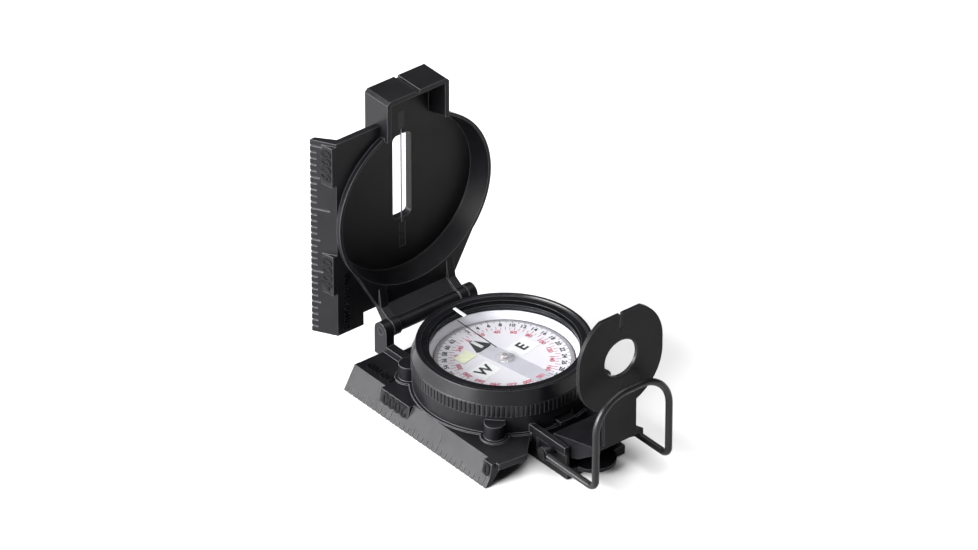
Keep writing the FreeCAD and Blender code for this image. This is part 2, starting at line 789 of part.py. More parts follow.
# knuckle from arm to arm round the pin, and a web from it up to the skirt
cover.pad("YZ", -arm_outer, arm_outer, ("circle", hinge_y, hinge_z, S.lug_radius - 0.5))
pin_clear = S.hinge_pin_radius + 0.7
cover.pad("YZ", -arm_inner - 0.5, arm_inner + 0.5, [
    (hinge_y + 0.6, hinge_z + pin_clear),
    (hinge_y + pin_clear + 0.5, hinge_z + 0.9),
    (rim_y + 2.0, skirt_low + 0.6),
    (rim_y, skirt_low + 0.6),
])
for side in (-1, 1):
    outer, inner = side * arm_outer, side * arm_inner
    low, high = (outer, inner) if side < 0 else (inner, outer)
    cover.pad("YZ", low, high, ("circle", hinge_y, hinge_z, S.lug_radius))
    cover.pad("YZ", low, high, [
        (hinge_y - S.lug_radius + 0.6, hinge_z + 1.0),
        (hinge_y + S.lug_radius, hinge_z),
        (rim_y + 2.0, skirt_low + 0.5),
        (rim_y + 2.0, skirt_low + 6.5),
        (rim_y, skirt_low + 6.5),
        (rim_y - 1.0, skirt_low + 0.6),
    ])

# box-shaped tip, open to the dial side and into the cup
tip_front = back_y - S.tip_depth
tip_z = reached(S.tip_reach)
tip_low = cup_z + 20.0
tip_corner = 0.9
cover.pad("XZ", tip_front, back_y, [
    (-S.tip_half, tip_low),
    (S.tip_half, tip_low),
    (S.tip_half, tip_z - tip_corner),
    (S.tip_half - tip_corner, tip_z),
    (-S.tip_half + tip_corner, tip_z),
    (-S.tip_half, tip_z - tip_corner),
])
cover.pocket("XZ", tip_front - 1.0, floor_y,
             box(-S.tip_half + S.tip_wall, S.tip_half - S.tip_wall, cup_z + 10.0, tip_z - S.tip_wall))
# the cup stays clear inside where the tip's foot reached into it
cover.turn_along_y(cup_z, [
    (rim_y - S.tip_depth, 0),
    (rim_y - S.tip_depth, S.cup_rim - S.cup_wall),
    (rim_y, S.cup_rim - S.cup_wall),
    (floor_y, S.cup_back - S.cup_wall - 0.15),
    (floor_y, 0),
], cut=True)

# sighting slot with the wire's two grooves, and the notch across the tip
slot_low, slot_high = reached(S.slot_low), reached(S.slot_high)
cover.pocket("XZ", floor_y - 1.0, back_y + 1.0, box(-S.slot_half, S.slot_half, slot_low, slot_high))
cover.round_edges(1.6, lambda a, b: abs(a.y - b.y) > 1 and abs(a.x - b.x) < 0.01 and abs(a.z - b.z) < 0.01
                  and abs(abs(a.x) - SIZES["slot_half"]) < 0.01
                  and min(abs(a.z - slot_low.value), abs(a.z - slot_high.value)) < 0.01)
wire_y = floor_y + 0.35
wire_low, wire_high = slot_low - 3.0, slot_high + 3.0
anchor_half, anchor_near, low_anchor_far, high_anchor_far = 1.0, 1.6, 9.4, 7.0
anchors = [box(-anchor_half, anchor_half, slot_low - low_anchor_far, slot_low - anchor_near),
           box(-anchor_half, anchor_half, slot_high + anchor_near, slot_high + high_anchor_far)]
cover.pocket("XZ", floor_y - 0.1, wire_y + S.wire_radius, box(-0.35, 0.35, wire_low, wire_high))
for anchor in anchors:
    cover.pocket("XZ", floor_y - 0.1, floor_y + 0.9, anchor)
cover.pocket("XZ", tip_front - 0.5, back_y + 0.5, [
    (-0.55, tip_z - 0.7),
    (0.55, tip_z - 0.7),
    (0.75, tip_z + 0.5),
    (-0.75, tip_z + 0.5),
])
cover.pocket("YZ", -arm_outer - 1, arm_outer + 1, ("circle", hinge_y, hinge_z, hinge_bore))

# the scale goes on from the base's: laid flat, 3000 m falls this far beyond the hinge axis
cover_zero = scale_zero + S.tick_pitch * (3 * THOUSAND) - hinge_y
for every, groove_length in GROOVES:
    pitch = S.tick_pitch * every
    first = math.ceil((0.5 - cover_zero.value) / pitch.value)
    last = int((wing_high.value - hinge_z.value - cover_zero.value - 0.5) / pitch.value)
    level = reached(cover_zero + pitch * first)
    cut = cover.pocket("XY", level - S.tick_width / 2, level + S.tick_width / 2,
                       from_back(slope_strip(groove_length, S.tick_depth)))
    cover.row(cut, "Z_Axis", pitch * (last - first), last - first + 1)
# raised pads under the numerals 4000 and 6000, the latter drawn back from the ruler's end
fourth_thousand = reached(cover_zero + S.tick_pitch * THOUSAND)
cover.pad("XY", fourth_thousand - label_half, fourth_thousand + label_half, from_back(label_section))
cover.pad("XY", wing_high - 0.9 - S.label_length, wing_high - 0.9, from_back(label_section))

wire = piece("sighting_wire")
wire.pad("XY", wire_low, wire_high, ("circle", 0, wire_y, S.wire_radius))
anchor_pair = piece("wire_anchors")
anchor_pair.pad("XZ", floor_y + 0.1, floor_y + 0.9, *anchors)
anchor_pair.pocket("XY", wire_low, wire_high, ("circle", 0, wire_y, S.wire_radius))

hinge_pin = piece("hinge_pin")
hinge_pin.pad("YZ", -S.lug_outer, S.lug_outer, ("circle", hinge_y, hinge_z, S.hinge_pin_radius))

# ------------------------------------------------------------------ rear sight
sight = piece("sight_bracket")
face_y = -S.sight_face
front_y = face_y + S.sheet_wall
leaf_end_y = sight_y + 1.8
sight_low_disc = S.sight_disc_level - S.sight_disc_drop
sight.pad("XZ", face_y, front_y, ("circle", 0, S.sight_disc_level, S.sight_disc_radius))
sight.pad("XZ", face_y, front_y, ("circle", 0, sight_low_disc, S.sight_disc_radius))
sight.pad("XZ", face_y, front_y,
          box(-S.sight_disc_radius, S.sight_disc_radius, sight_low_disc, S.sight_disc_level))
sight.pad("XZ", face_y, front_y,
          box(-S.sight_neck_half, S.sight_neck_half, S.leaf_near - 0.2, S.sight_disc_level - 4.0))
sight.pocket("XZ", face_y - 1, front_y + 1,
             box(-S.sight_disc_radius, S.sight_disc_radius, S.sight_top, S.sight_top + 6.0))
sight.pocket("XZ", face_y - 1, front_y + 1, box(-0.45, 0.45, S.sight_top - 5.0, S.sight_top + 1.0))
sight.pocket("XZ", face_y - 1, front_y + 1, ("circle", 0, S.lens_level, S.lens_radius))
# leaf that rises from the pin to the foot of the plate
sight.pad("YZ", -sight_half, sight_half, [
    (leaf_end_y, S.leaf_far - S.sheet_wall),
    (leaf_end_y, S.leaf_far),
    (face_y, S.leaf_near),
    (face_y, S.leaf_near - S.sheet_wall),
])
for side in (-1, 1):
    outer, inner = side * sight_half, side * (sight_half - S.sheet_wall)
    low, high = (outer, inner) if side < 0 else (inner, outer)
    sight.pad("YZ", low, high, [
        (leaf_end_y, S.leaf_far - 0.5),
        (leaf_end_y, sight_z),
        (sight_y - 2.2, sight_z - 1.6),
        (sight_y - 8.6, sight_z + 0.7),
        (face_y, S.leaf_near - 1.9),
        (face_y, S.leaf_near - 0.5),
    ])
    sight.pad("YZ", low, high, ("circle", sight_y, sight_z, 2.2))
sight.pocket("YZ", -sight_half - 1, sight_half + 1,
             ("circle", sight_y, sight_z, S.sight_pin_radius + S.pin_play))

lens = piece("sight_lens")
lens.turn_along_y(S.lens_level, [
    (face_y + 0.15, 0),
    (face_y + 0.35, S.lens_radius - 0.35),
    (face_y + 0.85, S.lens_radius - 0.35),
    (front_y - 0.15, 0),
])
lens_ring = piece("lens_ring")
lens_ring.pad("XZ", face_y + 0.1, front_y - 0.1,
              ("circle", 0, S.lens_level, S.lens_radius), ("circle", 0, S.lens_level, S.lens_radius - 0.35))

eye_inner = S.loop_half - 0.6
sight_pin = piece("sight_pin")
sight_pin.pad("YZ", -S.loop_half - 0.75, S.loop_half + 0.75, ("circle", sight_y, sight_z, S.sight_pin_radius))
for side in (-1, 1):
    outer, inner = side * (eye_inner - 0.1), side * S.tail_half
    low, high = (outer, inner) if side < 0 else (inner, outer)
    sight_pin.pad("YZ", low, high, ("circle", sight_y, sight_z, 1.55))
    outer, inner = side * (S.loop_half + 1.1), side * (S.loop_half + 0.7)
    low, high = (outer, inner) if side < 0 else (inner, outer)
    sight_pin.pad("YZ", low, high, ("circle", sight_y, sight_z, 1.4))

spring = piece("sight_spring")
spring_end_y = sight_y + 5.6
spring.pad("YZ", -3.0, 3.0, [
    (spring_end_y, S.tail_floor),
    (spring_end_y, S.tail_floor + 0.4),
    (sight_y + 2.4, S.tail_floor + 0.4),
    (-S.tail_end + 1.4, S.tail_floor + 1.1),
    (-S.tail_end + 1.4, S.tail_floor + 0.7),
    (sight_y + 2.4, S.tail_floor),
])

# ------------------------------------------------------------------ thumb loop
loop = piece("thumb_loop")
leg_start = 1.9                 # the legs start inside their eyes


def loop_side(side):
    """Eye on the sight pin, leg along the tail and the bend up into the arch."""
    place = side * S.loop_half
    loop.pad("YZ", place - 0.6, place + 0.6, ("circle", sight_y, sight_z, 2.1))
    path = loop.body.newObject("Sketcher::SketchObject", loop.name("path"))
    support = [f for f in loop.body.Origin.OriginFeatures if f.Role == "YZ_Plane"][0]
    path.AttachmentSupport = [(support, "")]
    path.MapMode = "FlatFace"
    path.setExpression("AttachmentOffset.Base.z", place.text)
    start = FreeCAD.Vector(sight_y.value - leg_start, sight_z.value, 0)
    foot = -S.loop_reach
    bend = S.loop_bend
    bend_start = FreeCAD.Vector((foot + bend).value, sight_z.value, 0)
    centre = FreeCAD.Vector((foot + bend).value, (sight_z + bend).value, 0)
    top = (sight_z + bend) + 4.0
    leg = path.addGeometry(Part.LineSegment(start, bend_start), False)
    curve = Part.ArcOfCircle(Part.Circle(centre, FreeCAD.Vector(0, 0, 1), bend.value), math.pi, 1.5 * math.pi)
    arc = path.addGeometry(curve, False)
    rise = path.addGeometry(Part.LineSegment(FreeCAD.Vector(foot.value, centre.y, 0),
                                             FreeCAD.Vector(foot.value, top.value, 0)), False)
    path.addConstraint(Sketcher.Constraint("Coincident", leg, 2, arc, 2))
    path.addConstraint(Sketcher.Constraint("Coincident", arc, 1, rise, 1))
    loop.hold(path, leg, 1, sight_y - leg_start, sight_z)
    loop.hold(path, leg, 2, across=foot + bend)
    loop.hold(path, arc, 3, foot + bend, sight_z + bend)
    loop.hold(path, arc, 1, foot, sight_z + bend)
    loop.hold(path, rise, 2, foot, top)
    section = loop.sketch("XZ", sight_y - leg_start, [("circle", place, sight_z, S.loop_wire_radius)])
    doc.recompute()
    pipe = loop.body.newObject("PartDesign::AdditivePipe", loop.name("leg"))
    pipe.Profile = section
    pipe.Spine = (path, [])
    return top


loop_side(-1)
arch_start = loop_side(1)
# arch across, from leg to leg
arch = loop.body.newObject("Sketcher::SketchObject", loop.name("arch"))
arch.AttachmentSupport = [([f for f in loop.body.Origin.OriginFeatures if f.Role == "XZ_Plane"][0], "")]
arch.MapMode = "FlatFace"
arch.setExpression("AttachmentOffset.Base.z", S.loop_reach.text)
half, corner, crest = S.loop_half, S.loop_corner, S.loop_top
shoulder = crest - corner
arch_foot = arch_start - 0.5


def flat_point(across, up):
    return FreeCAD.Vector(size(across).value, size(up).value, 0)


def corner_arc(across, start, end):
    circle = Part.Circle(flat_point(across, shoulder), FreeCAD.Vector(0, 0, 1), corner.value)
    return Part.ArcOfCircle(circle, start, end)


left = arch.addGeometry(Part.LineSegment(flat_point(-half, arch_foot), flat_point(-half, shoulder)), False)
left_arc = arch.addGeometry(corner_arc(corner - half, 0.5 * math.pi, math.pi), False)
crest_line = Part.LineSegment(flat_point(corner - half, crest), flat_point(half - corner, crest))
top_line = arch.addGeometry(crest_line, False)
right_arc = arch.addGeometry(corner_arc(half - corner, 0, 0.5 * math.pi), False)
right = arch.addGeometry(Part.LineSegment(flat_point(half, shoulder), flat_point(half, arch_foot)), False)
for first, first_end, second, second_end in ((left, 2, left_arc, 2), (left_arc, 1, top_line, 1),
                                             (top_line, 2, right_arc, 2), (right_arc, 1, right, 1)):
    arch.addConstraint(Sketcher.Constraint("Coincident", first, first_end, second, second_end))
loop.hold(arch, left, 1, -half, arch_foot)
loop.hold(arch, left, 2, -half, shoulder)
loop.hold(arch, left_arc, 3, corner - half, shoulder)
loop.hold(arch, top_line, 1, across=corner - half)
loop.hold(arch, top_line, 2, across=half - corner)
loop.hold(arch, right_arc, 3, half - corner, shoulder)
loop.hold(arch, right, 1, half, shoulder)
loop.hold(arch, right, 2, half, arch_foot)
arch_section = loop.sketch("XY", arch_foot, [("circle", -half, -S.loop_reach, S.loop_wire_radius)])
doc.recompute()
arch_pipe = loop.body.newObject("PartDesign::AdditivePipe", loop.name("arch_pipe"))
arch_pipe.Profile = arch_section
arch_pipe.Spine = (arch, [])
sight_bore = S.sight_pin_radius + S.pin_play
loop.pocket("YZ", -half - 2, half + 2, ("circle", sight_y, sight_z, sight_bore))

# ------------------------------------------------------------------ check and write
doc.recompute()
faults = []
for thing in doc.Objects:
    if "Invalid" in thing.State or "Error" in thing.State:
        faults.append("%s: %s" % (thing.Name, thing.State))
for made in pieces:
    shape = made.body.Shape
    if shape.isNull() or not shape.isValid() or not shape.Solids:
        faults.append("%s has no valid solid" % made.body.Label)
if faults:
    raise RuntimeError("; ".join(faults))
os.makedirs("parts", exist_ok=True)
for made in pieces:
    made.body.Shape.exportStep("parts/%s.step" % made.body.Label)
    print("%-18s %9.1f mm3" % (made.body.Label, made.body.Shape.Volume))
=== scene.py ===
import json
import math

import bpy
from mathutils import Matrix, Vector

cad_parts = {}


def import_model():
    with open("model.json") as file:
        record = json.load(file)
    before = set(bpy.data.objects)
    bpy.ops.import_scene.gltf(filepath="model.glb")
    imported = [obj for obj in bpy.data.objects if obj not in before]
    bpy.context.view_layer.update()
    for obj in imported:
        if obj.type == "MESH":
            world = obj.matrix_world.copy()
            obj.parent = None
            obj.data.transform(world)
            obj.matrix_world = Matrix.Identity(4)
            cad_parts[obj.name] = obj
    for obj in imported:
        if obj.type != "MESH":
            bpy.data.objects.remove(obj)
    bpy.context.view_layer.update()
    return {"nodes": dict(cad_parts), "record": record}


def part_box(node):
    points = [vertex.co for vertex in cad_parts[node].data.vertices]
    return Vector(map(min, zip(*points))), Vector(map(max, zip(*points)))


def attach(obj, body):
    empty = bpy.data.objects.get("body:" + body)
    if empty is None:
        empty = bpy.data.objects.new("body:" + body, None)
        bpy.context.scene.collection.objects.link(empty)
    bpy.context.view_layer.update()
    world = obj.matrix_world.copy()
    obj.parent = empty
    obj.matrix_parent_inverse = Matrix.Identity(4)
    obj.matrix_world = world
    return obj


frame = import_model()
nodes = frame["nodes"]
MM = 0.001


# ------------------------------------------------------------------ places, in millimetres, from the frame
def low(node):
    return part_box(node)[0] / MM


def high(node):
    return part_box(node)[1] / MM


RULER_EDGE = low("base_casting").x
RULER_CREST = RULER_EDGE + 3.8          # where the slope meets the plate
PLATE_LEVEL = 6.7
COVER_BACK = high("cover_casting").y
WING_FACE = COVER_BACK - PLATE_LEVEL
HINGE = (low("hinge_pin") + high("hinge_pin")) / 2
WING_TOP = HINGE.z + 61.1
DIAL_LEVEL = high("dial_card").z
DIAL_RADIUS = high("dial_card").x
HEADING = math.radians(10)              # the dial's turn at rest
LABEL_WIDTH = 4.4                       # raised pad under a numeral, across the slope
LABEL_LENGTH = 12.4
LABEL_INSET = 0.9                       # from the wing's top to its upper pad
SCALE_ZERO = -26.9                      # along Y
THOUSAND = 20.0                         # 1000 m at 1:50 000
ZERO_LABEL = -26.5
SECOND_THOUSAND = SCALE_ZERO + 2 * THOUSAND
FOURTH_THOUSAND = HINGE.z + SCALE_ZERO + 4 * THOUSAND - HINGE.y
SIXTH_LABEL = WING_TOP - LABEL_INSET - LABEL_LENGTH / 2


# ------------------------------------------------------------------ materials
def new_material(name):
    material = bpy.data.materials.new(name)
    material.use_nodes = True
    material.node_tree.nodes.clear()
    output = material.node_tree.nodes.new("ShaderNodeOutputMaterial")
    shader = material.node_tree.nodes.new("ShaderNodeBsdfPrincipled")
    material.node_tree.links.new(shader.outputs["BSDF"], output.inputs["Surface"])
    return material, shader


def noise(tree, scale, detail=2.0, roughness=0.5, stretch=None):
    """A noise texture over the object's own coordinates; scale is in features per metre."""
    place = tree.nodes.new("ShaderNodeTexCoord")
    texture = tree.nodes.new("ShaderNodeTexNoise")
    texture.inputs["Scale"].default_value = scale
    texture.inputs["Detail"].default_value = detail
    texture.inputs["Roughness"].default_value = roughness
    if stretch is None:
        tree.links.new(place.outputs["Object"], texture.inputs["Vector"])
    else:
        mapping = tree.nodes.new("ShaderNodeMapping")
        mapping.inputs["Scale"].default_value = stretch
        tree.links.new(place.outputs["Object"], mapping.inputs["Vector"])
        tree.links.new(mapping.outputs["Vector"], texture.inputs["Vector"])
    return texture.outputs["Fac"]


def ramp(tree, value, stops):
    """A colour ramp from (position, grey or colour) stops."""
    node = tree.nodes.new("ShaderNodeValToRGB")
    while len(node.color_ramp.elements) < len(stops):
        node.color_ramp.elements.new(0.5)
    for element, (position, colour) in zip(node.color_ramp.elements, stops):
        element.position = position
        rgb = (colour,) * 3 if isinstance(colour, float) else colour
        element.color = (*rgb, 1.0)
    tree.links.new(value, node.inputs["Fac"])
    return node.outputs["Color"]


def edge_mask(tree, radius):
    """High where the surface bends within a radius: how far the rounded normal leans from the flat one. It
    places the edge colour that is partly edge wear and partly a painted highlight.
    """
    rounded = tree.nodes.new("ShaderNodeBevel")
    rounded.samples = 6
    rounded.inputs["Radius"].default_value = radius
    geometry = tree.nodes.new("ShaderNodeNewGeometry")
    lean = tree.nodes.new("ShaderNodeVectorMath")
    lean.operation = "DOT_PRODUCT"
    tree.links.new(rounded.outputs["Normal"], lean.inputs[0])
    tree.links.new(geometry.outputs["Normal"], lean.inputs[1])
    return ramp(tree, lean.outputs["Value"], [(0.75, 1.0), (0.985, 0.0)])


def mixed(tree, share, first, second):
    node = tree.nodes.new("ShaderNodeMix")
    node.data_type = "RGBA"
    tree.links.new(share, node.inputs["Factor"])
    for socket, colour in ((node.inputs["A"], first), (node.inputs["B"], second)):
        if isinstance(colour, tuple):
            socket.default_value = (*colour, 1.0)
        else:
            tree.links.new(colour, socket)
    return node.outputs["Result"]


def finish(name, dark, light, rough, metallic=0.0, grain=None, worn_and_highlight_edge=None, patches=60.0, coat=0.0,
           stretch=None, rounding=0.00018, specular=0.5):
    """A solid material: colour drifts between dark and light, roughness drifts, grain is a bump of
    (features per metre, depth in metres), and worn_and_highlight_edge is the lighter colour along rounded
    edges: partly edge wear, partly a painted highlight."""
    material, shader = new_material(name)
    tree = material.node_tree
    drift = noise(tree, patches, 4.0, 0.6, stretch)
    colour = ramp(tree, drift, [(0.3, dark), (0.7, light)])
    # lighter colour along rounded edges: partly edge wear, partly a painted highlight where the edges would
    # catch the light
    if worn_and_highlight_edge is not None:
        colour = mixed(tree, edge_mask(tree, rounding), colour, worn_and_highlight_edge)
    tree.links.new(colour, shader.inputs["Base Color"])
    spread = [(0.25, rough * 0.85), (0.75, min(1.0, rough * 1.15))]
    gloss = ramp(tree, noise(tree, patches * 4.0, 3.0), spread)
    tree.links.new(gloss, shader.inputs["Roughness"])
    shader.inputs["Metallic"].default_value = metallic
    shader.inputs["Specular IOR Level"].default_value = specular
    shader.inputs["Coat Weight"].default_value = coat
    shader.inputs["Coat Roughness"].default_value = 0.12
    rounded = tree.nodes.new("ShaderNodeBevel")
    rounded.samples = 6
    rounded.inputs["Radius"].default_value = rounding
    if grain is not None:
        bump = tree.nodes.new("ShaderNodeBump")
        bump.inputs["Strength"].default_value = 1.0
        bump.inputs["Distance"].default_value = grain[1]
        tree.links.new(noise(tree, grain[0], 2.0, 0.6, stretch), bump.inputs["Height"])
        tree.links.new(rounded.outputs["Normal"], bump.inputs["Normal"])
        tree.links.new(bump.outputs["Normal"], shader.inputs["Normal"])
    else:
        tree.links.new(rounded.outputs["Normal"], shader.inputs["Normal"])
    return material


def clear(name, tint, alpha, rough):
    """A clear pane: mostly see-through, with faint smears in its gloss."""
    material, shader = new_material(name)
    tree = material.node_tree
    colour = ramp(tree, noise(tree, 90.0), [(0.3, tint), (0.7, tuple(min(1.0, c * 1.05) for c in tint))])
    tree.links.new(colour, shader.inputs["Base Color"])
    gloss = ramp(tree, noise(tree, 140.0, 4.0), [(0.3, rough), (0.8, rough * 2.5)])
    tree.links.new(gloss, shader.inputs["Roughness"])
    shader.inputs["Alpha"].default_value = alpha
    shader.inputs["Coat Weight"].default_value = 0.6
    shader.inputs["Coat Roughness"].default_value = 0.02
    return material


def solid_clear(name, tint, rough):
    """Thick clear plastic that bends the light."""
    material, shader = new_material(name)
    tree = material.node_tree
    colour = ramp(tree, noise(tree, 300.0), [(0.3, tint), (0.7, tuple(min(1.0, c * 1.03) for c in tint))])
    tree.links.new(colour, shader.inputs["Base Color"])
    gloss = ramp(tree, noise(tree, 900.0, 3.0), [(0.3, rough), (0.8, rough * 2.0)])
    tree.links.new(gloss, shader.inputs["Roughness"])
    shader.inputs["Transmission Weight"].default_value = 0.85
    shader.inputs["IOR"].default_value = 1.49
    return material


POWDER = (5200.0, 0.00003)
# the worn_and_highlight_edge colours below are partly edge wear and partly a painted edge highlight
LOOKS = {
    "casting_black": finish("powder_coat", (0.002, 0.002, 0.0026), (0.004, 0.004, 0.005), 0.40, grain=POWDER,
                            worn_and_highlight_edge=(0.10, 0.10, 0.106), rounding=0.00028, specular=0.16),
    "bezel_black": finish("bezel_enamel", (0.0015, 0.0015, 0.002), (0.003, 0.003, 0.004), 0.30,
                          grain=(6500.0, 0.00001), worn_and_highlight_edge=(0.06, 0.06, 0.064), coat=0.05, specular=0.2),
    "sheet_black": finish("sheet_coat", (0.002, 0.002, 0.0025), (0.004, 0.004, 0.005), 0.42,
                          grain=(4200.0, 0.00003), worn_and_highlight_edge=(0.05, 0.05, 0.053), specular=0.1),
    "wire_black": finish("wire_coat", (0.004, 0.004, 0.0045), (0.008, 0.008, 0.0085), 0.30,
                         grain=(3800.0, 0.000012), stretch=(1.0, 0.4, 0.4), specular=0.2),
    "clear_glass": clear("flat_glass", (0.06, 0.065, 0.07), 0.03, 0.02),
    "lens_glass": clear("lens_glass", (0.30, 0.31, 0.32), 0.03, 0.015),
    "clear_plastic": solid_clear("clear_hub", (0.94, 0.95, 0.96), 0.05),
    "steel": finish("drawn_steel", (0.50, 0.50, 0.51), (0.62, 0.62, 0.63), 0.28, metallic=1.0,
                    grain=(5000.0, 0.000006)),
    "spring_steel": finish("blued_steel", (0.16, 0.17, 0.20), (0.24, 0.25, 0.29), 0.34, metallic=1.0,
                           grain=(5000.0, 0.000006)),
    "brass": finish("turned_brass", (0.55, 0.40, 0.16), (0.70, 0.52, 0.24), 0.32, metallic=1.0,
                    grain=(4000.0, 0.000006)),
    "copper": finish("drawn_copper", (0.62, 0.30, 0.18), (0.78, 0.42, 0.28), 0.35, metallic=1.0,
                     grain=(4000.0, 0.000006)),
    "magnet_steel": finish("ground_magnet", (0.20, 0.20, 0.22), (0.30, 0.30, 0.32), 0.45, metallic=1.0,
                           grain=(6000.0, 0.000008)),
    "seal_rubber": finish("seal_rubber", (0.02, 0.02, 0.02), (0.035, 0.035, 0.035), 0.75,
                          grain=(3000.0, 0.00002)),
    "dial_white": finish("dial_card", (0.355, 0.35, 0.378), (0.40, 0.395, 0.423), 0.55,
                         grain=(3500.0, 0.000005)),
    "bowl_white": finish("bowl_plastic", (0.46, 0.46, 0.50), (0.52, 0.52, 0.56), 0.42,
                         grain=(2500.0, 0.000006)),
    "print_black": finish("black_ink", (0.004, 0.004, 0.005), (0.008, 0.008, 0.009), 0.5,
                          grain=(5000.0, 0.000004)),
    "lume": finish("lume_paint", (0.36, 0.38, 0.27), (0.44, 0.46, 0.34), 0.6, grain=(4000.0, 0.00001),
                   patches=500.0),
    "jewel": finish("ruby", (0.35, 0.03, 0.06), (0.50, 0.06, 0.10), 0.12, coat=0.4),
}
INK_RED = finish("red_ink", (0.24, 0.03, 0.06), (0.32, 0.06, 0.09), 0.5, grain=(5000.0, 0.000004))
INK_GREY = finish("grey_ink", (0.24, 0.24, 0.27), (0.29, 0.29, 0.32), 0.5, grain=(5000.0, 0.000004))
INK_PALE = finish("pale_ink", (0.40, 0.405, 0.41), (0.435, 0.44, 0.445), 0.5, grain=(5000.0, 0.000004))
RAISED_GLOSS = finish("raised_lettering", (0.0015, 0.0015, 0.0018), (0.003, 0.003, 0.0035), 0.20,
                      grain=(5200.0, 0.000008), rounding=0.0001, specular=0.12)
BRIGHT_MARK = finish("marker_paint", (0.30, 0.31, 0.31), (0.36, 0.37, 0.37), 0.5, grain=(4000.0, 0.00001))

for entry in frame["record"]["subparts"]:
    shown = nodes[entry["node"]]
    shown.data.materials.clear()
    shown.data.materials.append(LOOKS[entry["material_slot"]])
for name in ("bezel_marker", "arrow_lume"):
    nodes[name].data.materials[0] = BRIGHT_MARK


# ------------------------------------------------------------------ pieces
def add_mesh(name, points, faces, material, body, slot):
    """A piece from points in millimetres in the row frame."""
    mesh = bpy.data.meshes.new(name)
    mesh.from_pydata([Vector(p) * MM for p in points], [], faces)
    mesh.validate()
    mesh.materials.append(material)
    piece = bpy.data.objects.new(name, mesh)
    bpy.context.scene.collection.objects.link(piece)
    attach(piece, body)
    return piece


def prisms(outlines, level, depth):
    """Closed prisms standing on a level, from outlines in the dial's plane."""
    points, faces = [], []
    for outline in outlines:
        start, count = len(points), len(outline)
        points += [(x, y, level) for x, y in outline]
        points += [(x, y, level + depth) for x, y in outline]
        faces.append([start + i for i in reversed(range(count))])
        faces.append([start + count + i for i in range(count)])
        for i in range(count):
            j = (i + 1) % count
            faces.append([start + i, start + j, start + count + j, start + count + i])
    return points, faces


def on_dial(x, y):
    """A place on the card, with the card's north along +Y, turned to its rest heading."""
    return (x * math.cos(HEADING) - y * math.sin(HEADING), x * math.sin(HEADING) + y * math.cos(HEADING))


def tick(angle, inner, outer, width):
    """Outline of a radial tick; angle is clockwise from north."""
    along = (math.sin(angle), math.cos(angle))
    across = (along[1] * width / 2, -along[0] * width / 2)
    corners = []
    for radius, side in ((inner, -1), (outer, -1), (outer, 1), (inner, 1)):
        corners.append(on_dial(along[0] * radius + side * across[0], along[1] * radius + side * across[1]))
    return corners[::-1]


def letters(text, height, depth, place):
    """Points and faces of a word as a closed solid; place maps (right, up, out) to the frame."""
    curve = bpy.data.curves.new("letters", "FONT")
    curve.body = text
    curve.size = height / 0.7
    curve.align_x = "CENTER"
    curve.align_y = "CENTER"
    curve.extrude = depth / 2
    curve.offset = height * 0.045
    curve.resolution_u = 3
    holder = bpy.data.objects.new("letters", curve)
    bpy.context.scene.collection.objects.link(holder)
    bpy.context.view_layer.update()
    mesh = bpy.data.meshes.new_from_object(holder.evaluated_get(bpy.context.evaluated_depsgraph_get()))
    points = [place(v.co.x, v.co.y, v.co.z + depth / 2) for v in mesh.vertices]
    faces = [list(f.vertices) for f in mesh.polygons]
    bpy.data.objects.remove(holder)
    bpy.data.curves.remove(curve)
    bpy.data.meshes.remove(mesh)
    return points, faces


def joined(parts):
    """One list of points and faces from several."""
    points, faces = [], []
    for more_points, more_faces in parts:
        start = len(points)
        points += more_points
        faces += [[start + i for i in face] for face in more_faces]
    return points, faces


def plane(origin, right, up):
    """A map from (right, up, out) to the frame for lettering on a plane face."""
    out = right.cross(up)
    return lambda r, u, o: origin + right * r + up * u + out * o


# ------------------------------------------------------------------ print on the card, in millimetres
INK = 0.03                              # thickness of the print
SCALE_RADIUS = DIAL_RADIUS - 0.25
RED_RADIUS = SCALE_RADIUS - 4.9         # inner ends of the red ticks
TICK_WIDTH = 0.17
FIGURE_HEIGHT = 1.35
CARDINAL_HEIGHT = 3.4
BAND_HALF = 3.0
ARROW_BASE = 6.9
PANEL_NEAR, PANEL_FAR, PANEL_LOW, PANEL_HIGH = 4.2, 11.4, -2.9, 3.0
DEGREES_IN_MIL = 360 / 6400


def rectangle(left, right, bottom, top):
    return [on_dial(*corner) for corner in ((left, bottom), (right, bottom), (right, top), (left, top))]


def rim_line():
    """A thin ring just outside the scale, as short links."""
    inner, outer, link = SCALE_RADIUS + 0.02, SCALE_RADIUS + 0.14, 3
    links = []
    for start in range(0, 360, link):
        a, b = math.radians(start), math.radians(start + link)
        ends = ((a, inner), (a, outer), (b, outer), (b, inner))
        links.append([on_dial(math.sin(t) * r, math.cos(t) * r) for t, r in ends][::-1])
    return links


